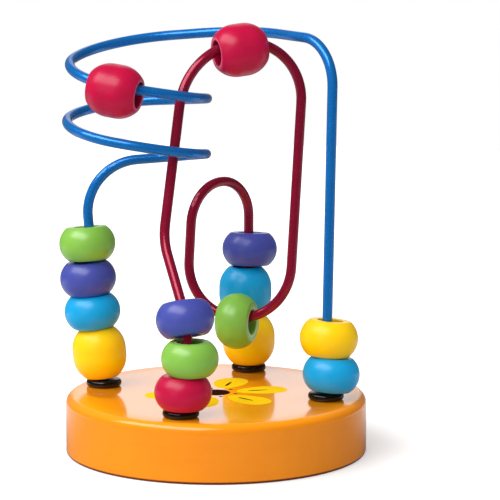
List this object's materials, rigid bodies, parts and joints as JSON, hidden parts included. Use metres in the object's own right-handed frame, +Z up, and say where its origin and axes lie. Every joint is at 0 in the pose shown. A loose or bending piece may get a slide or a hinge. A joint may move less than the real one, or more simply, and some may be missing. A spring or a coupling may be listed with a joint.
{
  "type": "bead maze",
  "caption": "Bead maze toy: bent coloured wires, one with a coil, rise from a round lacquered wooden base and carry sliding barrel-shaped wooden beads.",
  "frame": {"origin": "centre of the base's flat underside", "axes": "+Z up, away from the surface it stands on; the blue wire's feet lie on the X axis with the coil at -X; the red wire's front foot is at -Y"},
  "size_m": [0.0941, 0.0904, 0.1289],
  "materials": {
    "base_lacquer": "gloss orange lacquer over wood",
    "wire_blue_coat": "gloss blue coat",
    "wire_red_coat": "gloss dark red coat",
    "bush_plastic": "gloss black",
    "bead_yellow": "satin yellow lacquer over wood",
    "bead_sky": "satin light blue lacquer over wood",
    "bead_purple": "satin purple lacquer over wood",
    "bead_green": "satin green lacquer over wood",
    "bead_red": "satin red lacquer over wood"
  },
  "bodies": {
    "frame": {"base": "base_lacquer", "wire_blue": "wire_blue_coat", "wire_red": "wire_red_coat", "bush_left": "bush_plastic", "bush_right": "bush_plastic", "bush_front": "bush_plastic", "bush_back": "bush_plastic"},
    "bead_left_yellow": {"bead_left_yellow": "bead_yellow"},
    "bead_left_sky": {"bead_left_sky": "bead_sky"},
    "bead_left_purple": {"bead_left_purple": "bead_purple"},
    "bead_left_green": {"bead_left_green": "bead_green"},
    "bead_right_sky": {"bead_right_sky": "bead_sky"},
    "bead_right_yellow": {"bead_right_yellow": "bead_yellow"},
    "bead_front_red": {"bead_front_red": "bead_red"},
    "bead_front_green": {"bead_front_green": "bead_green"},
    "bead_front_purple": {"bead_front_purple": "bead_purple"},
    "bead_back_yellow": {"bead_back_yellow": "bead_yellow"},
    "bead_back_sky": {"bead_back_sky": "bead_sky"},
    "bead_back_purple": {"bead_back_purple": "bead_purple"},
    "bead_coil_red": {"bead_coil_red": "bead_red"},
    "bead_arch_red": {"bead_arch_red": "bead_red"},
    "bead_dip_green": {"bead_dip_green": "bead_green"}
  },
  "joints": [
    {"name": "left_yellow_slide", "type": "slide", "parent": "frame", "child": "bead_left_yellow", "axis": [-0.0895, -0.0236, 0.9957], "range_m": [0, 0.001]},
    {"name": "left_sky_slide", "type": "slide", "parent": "bead_left_yellow", "child": "bead_left_sky", "axis": [-0.0895, -0.0236, 0.9957], "range_m": [0, 0.001]},
    {"name": "left_purple_slide", "type": "slide", "parent": "bead_left_sky", "child": "bead_left_purple", "axis": [-0.0895, -0.0236, 0.9957], "range_m": [0, 0.001]},
    {"name": "left_green_slide", "type": "slide", "parent": "bead_left_purple", "child": "bead_left_green", "axis": [-0.0895, -0.0236, 0.9957], "range_m": [0, 0.003]},
    {"name": "right_sky_slide", "type": "slide", "parent": "frame", "child": "bead_right_sky", "axis": [0.0177, 0, 0.9998], "range_m": [0, 0.034]},
    {"name": "right_yellow_slide", "type": "slide", "parent": "bead_right_sky", "child": "bead_right_yellow", "axis": [0.0177, 0, 0.9998], "range_m": [0, 0.04]},
    {"name": "back_yellow_slide", "type": "slide", "parent": "frame", "child": "bead_back_yellow", "axis": [0, 0, 1], "range_m": [0, 0.002]},
    {"name": "back_sky_slide", "type": "slide", "parent": "bead_back_yellow", "child": "bead_back_sky", "axis": [0, 0, 1], "range_m": [0, 0.002]},
    {"name": "back_purple_slide", "type": "slide", "parent": "bead_back_sky", "child": "bead_back_purple", "axis": [0, 0, 1], "range_m": [0, 0.006]},
    {"name": "front_red_spin", "type": "hinge", "parent": "frame", "child": "bead_front_red", "pos_m": [0.0007, -0.03494, 0.0248], "axis": [0, 0, 1], "continuous": true},
    {"name": "front_green_spin", "type": "hinge", "parent": "frame", "child": "bead_front_green", "pos_m": [0.00272, -0.0347, 0.03475], "axis": [0, 0, 1], "continuous": true},
    {"name": "front_purple_slip", "type": "hinge", "parent": "frame", "child": "bead_front_purple", "pos_m": [-0.01282, -0.02245, 0.03731], "axis": [-0.6365, -0.7653, 0.0963], "range_deg": [0, 18]},
    {"name": "coil_red_slip", "type": "hinge", "parent": "frame", "child": "bead_coil_red", "pos_m": [-0.02214, -0.00724, 0.11535], "axis": [-0.1397, 0.1632, -0.9767], "range_deg": [-38, 65]},
    {"name": "arch_red_slip", "type": "hinge", "parent": "frame", "child": "bead_arch_red", "pos_m": [0.01063, 0.0004, 0.10112], "axis": [-0.5793, 0.7974, -0.1692], "range_deg": [-28, 15]},
    {"name": "dip_green_slip", "type": "hinge", "parent": "frame", "child": "bead_dip_green", "pos_m": [0.00293, 0.01244, 0.05413], "axis": [0.061, 0.9977, -0.0279], "range_deg": [-60, 60]}
  ]
}
